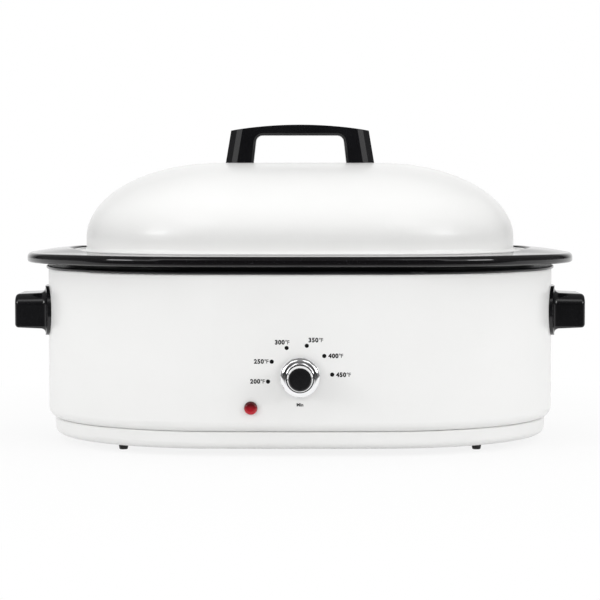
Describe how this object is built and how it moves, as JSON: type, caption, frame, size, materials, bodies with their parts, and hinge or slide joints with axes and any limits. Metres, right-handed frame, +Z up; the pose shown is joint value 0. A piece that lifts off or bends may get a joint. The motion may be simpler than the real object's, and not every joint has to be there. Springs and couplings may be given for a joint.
{
  "type": "electric roaster oven",
  "caption": "Countertop electric roaster oven with an oval body, a lift-out enamelled cookwell on a wide rim, a domed lift-off lid and a temperature knob.",
  "frame": {"origin": "on the table, below the middle of the bounding box of the whole appliance, knob included", "axes": "+Z up, front with the knob towards -Y, +X to the right seen from the front, along the body"},
  "size_m": [0.59, 0.4124, 0.327],
  "materials": {
    "outer_body": "smooth gloss enamel paint, warm white",
    "base_pan": "smooth gloss enamel paint, warm white",
    "foot_front_left": "moulded, matt",
    "foot_front_right": "moulded, matt",
    "foot_back_left": "moulded, matt",
    "foot_back_right": "moulded, matt",
    "rim_ring": "moulded heat-resistant plastic, satin black",
    "inner_liner": "mill-finish aluminised steel",
    "liner_floor": "mill-finish aluminised steel",
    "heater_band": "mill-finish steel band over mica",
    "insulation_blanket": "glass-fibre blanket",
    "spacer_posts": "moulded heat-resistant resin",
    "pan_screws": "zinc plated",
    "side_handle_left": "moulded heat-resistant plastic, black",
    "side_handle_right": "moulded heat-resistant plastic, black",
    "side_handle_screws": "zinc plated",
    "thermostat_bracket": "zinc plated sheet",
    "thermostat_body": "glazed insulator, off-white",
    "thermostat_blades": "spring alloy",
    "thermostat_screws": "zinc plated",
    "indicator_lens": "translucent red, moulded",
    "indicator_lamp": "clear neon tube",
    "lens_retainer": "spring steel",
    "cord_gland": "moulded, black",
    "terminal_block": "moulded, off-white",
    "knob_bezel": "bright plated",
    "knob_core": "moulded, black",
    "control_shaft": "plated steel",
    "cookwell": "glossy black porcelain enamel on steel",
    "wire_rack": "bright plated wire",
    "rack_bails": "bright plated wire",
    "lid": "smooth gloss enamel paint, warm white",
    "lid_handle": "moulded heat-resistant plastic, black",
    "lid_handle_washers": "silicone",
    "lid_handle_screws": "zinc plated"
  },
  "bodies": {
    "base": {"outer_body": "outer_body", "base_pan": "base_pan", "foot_front_left": "foot_front_left", "foot_front_right": "foot_front_right", "foot_back_left": "foot_back_left", "foot_back_right": "foot_back_right", "rim_ring": "rim_ring", "inner_liner": "inner_liner", "liner_floor": "liner_floor", "heater_band": "heater_band", "insulation_blanket": "insulation_blanket", "spacer_posts": "spacer_posts", "pan_screws": "pan_screws", "side_handle_left": "side_handle_left", "side_handle_right": "side_handle_right", "side_handle_screws": "side_handle_screws", "thermostat_bracket": "thermostat_bracket", "thermostat_body": "thermostat_body", "thermostat_blades": "thermostat_blades", "thermostat_screws": "thermostat_screws", "indicator_lens": "indicator_lens", "indicator_lamp": "indicator_lamp", "lens_retainer": "lens_retainer", "cord_gland": "cord_gland", "terminal_block": "terminal_block"},
    "cookwell": {"cookwell": "cookwell"},
    "rack": {"wire_rack": "wire_rack", "rack_bails": "rack_bails"},
    "lid": {"lid": "lid", "lid_handle": "lid_handle", "lid_handle_washers": "lid_handle_washers", "lid_handle_screws": "lid_handle_screws"},
    "knob": {"knob_bezel": "knob_bezel", "knob_core": "knob_core", "control_shaft": "control_shaft"}
  },
  "joints": [
    {"name": "cookwell_lift", "type": "slide", "parent": "base", "child": "cookwell", "axis": [0, 0, 1], "range_m": [0, 0.2]},
    {"name": "lid_lift", "type": "slide", "parent": "cookwell", "child": "lid", "axis": [0, 0, 1], "range_m": [0, 0.25]},
    {"name": "rack_lift", "type": "slide", "parent": "cookwell", "child": "rack", "axis": [0, 0, 1], "range_m": [0, 0.14]},
    {"name": "knob_turn", "type": "hinge", "parent": "base", "child": "knob", "pos_m": [0, -0.17625, 0.0785], "axis": [0, 1, 0], "range_deg": [0, 265]}
  ]
}
